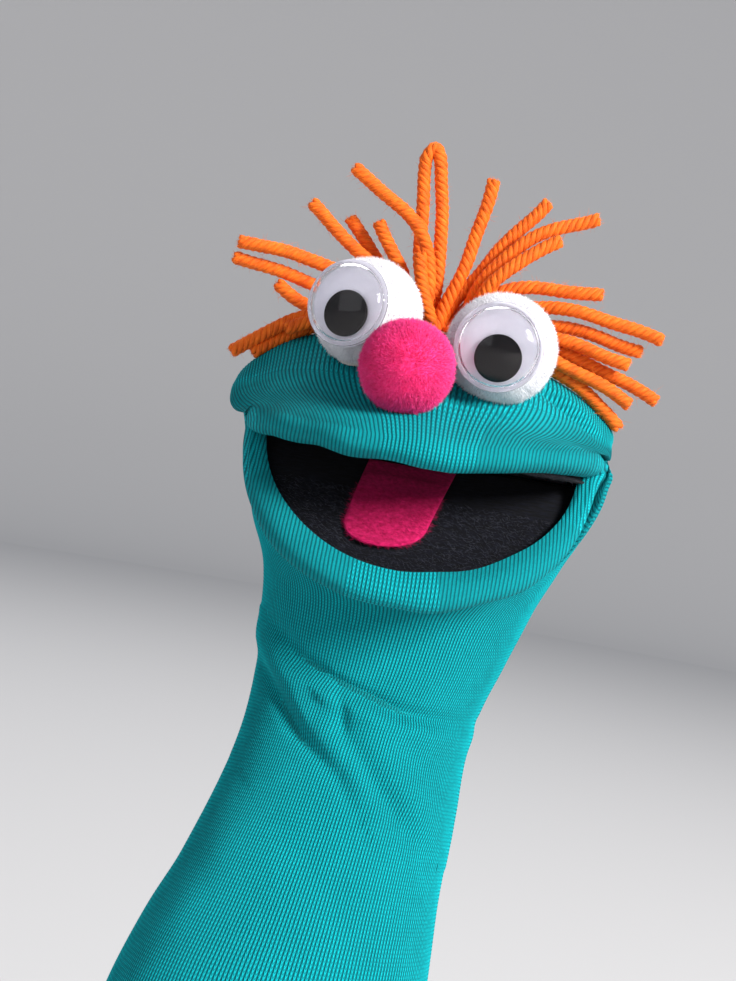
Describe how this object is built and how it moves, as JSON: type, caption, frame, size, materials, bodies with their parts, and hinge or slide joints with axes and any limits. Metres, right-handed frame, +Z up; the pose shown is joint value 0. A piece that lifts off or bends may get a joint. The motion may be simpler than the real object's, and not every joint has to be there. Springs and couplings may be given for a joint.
{
  "type": "sock puppet",
  "caption": "Hand puppet made from a knitted sock: hinged card mouth lined with felt, pompom nose and eyes with loose pupils, yarn hair.",
  "frame": {"origin": "centre of the sock's open cuff, in the plane of its rim", "axes": "+Z up the sleeve to the head, the puppet looks along -Y, +X to the viewer's right"},
  "size_m": [0.1276, 0.1094, 0.3483],
  "materials": {
    "knit_teal": "fine plain knit",
    "felt_black": "craft felt",
    "felt_red": "craft felt",
    "pompom_pink": "dense pompom pile",
    "pompom_white": "dense pompom pile",
    "yarn_orange": "twisted acrylic yarn",
    "card": "matte",
    "glue": "dried glue",
    "eye_white": "gloss",
    "eye_clear": "clear, polished",
    "pupil_black": "satin"
  },
  "bodies": {
    "sleeve": {"sock_cuff": "knit_teal", "sock_leg": "knit_teal"},
    "neck": {"sock_wrist_band": "knit_teal", "sock_neck": "knit_teal", "sock_nape": "knit_teal", "sock_throat": "knit_teal", "sock_corner_left": "knit_teal", "sock_corner_right": "knit_teal", "mouth_fold": "felt_black"},
    "upper_jaw": {"sock_crown": "knit_teal", "mouth_board_upper": "card", "mouth_felt_upper": "felt_black", "nose_pompom": "pompom_pink", "glue_nose": "glue", "eye_pompom_left": "pompom_white", "glue_eye_left": "glue", "glue_googly_left": "glue", "eye_backing_left": "eye_white", "eye_dome_left": "eye_clear", "eye_pompom_right": "pompom_white", "glue_eye_right": "glue", "glue_googly_right": "glue", "eye_backing_right": "eye_white", "eye_dome_right": "eye_clear", "glue_hair": "glue", "yarn_01": "yarn_orange", "yarn_02": "yarn_orange", "yarn_03": "yarn_orange", "yarn_04": "yarn_orange", "yarn_05": "yarn_orange", "yarn_06": "yarn_orange", "yarn_07": "yarn_orange", "yarn_08": "yarn_orange", "yarn_09": "yarn_orange", "yarn_10": "yarn_orange", "yarn_11": "yarn_orange", "yarn_12": "yarn_orange", "yarn_13": "yarn_orange", "yarn_14": "yarn_orange", "yarn_15": "yarn_orange", "yarn_16": "yarn_orange", "yarn_17": "yarn_orange", "yarn_18": "yarn_orange", "yarn_19": "yarn_orange", "yarn_20": "yarn_orange", "yarn_21": "yarn_orange", "yarn_22": "yarn_orange", "yarn_23": "yarn_orange", "yarn_24": "yarn_orange"},
    "lower_jaw": {"sock_chin": "knit_teal", "mouth_board_lower": "card", "mouth_felt_lower": "felt_black", "tongue": "felt_red"},
    "pupil_left": {"pupil_left": "pupil_black"},
    "pupil_right": {"pupil_right": "pupil_black"}
  },
  "joints": [
    {"name": "wrist_nod", "type": "hinge", "parent": "sleeve", "child": "neck", "pos_m": [0.0154, 0.0255, 0.175], "axis": [1, 0, 0], "range_deg": [-20, 20], "deforming": ["sock_wrist_band"]},
    {"name": "upper_jaw_lift", "type": "hinge", "parent": "neck", "child": "upper_jaw", "pos_m": [0.024, 0.034, 0.265], "axis": [-1, 0, 0], "range_deg": [-7, 15], "deforming": ["sock_nape", "sock_corner_left", "sock_corner_right", "mouth_fold"]},
    {"name": "lower_jaw_drop", "type": "hinge", "parent": "neck", "child": "lower_jaw", "pos_m": [0.024, 0.034, 0.265], "axis": [1, 0, 0], "range_deg": [-19, 15], "deforming": ["sock_throat", "sock_corner_left", "sock_corner_right", "mouth_fold"]},
    {"name": "pupil_left_roll", "type": "hinge", "parent": "upper_jaw", "child": "pupil_left", "pos_m": [0.03745, -0.00517, 0.29358], "axis": [-0.1261, -0.9892, -0.0751], "continuous": true},
    {"name": "pupil_right_roll", "type": "hinge", "parent": "upper_jaw", "child": "pupil_right", "pos_m": [-0.00268, 0.00285, 0.29897], "axis": [-0.4208, -0.9067, 0.0301], "continuous": true}
  ]
}
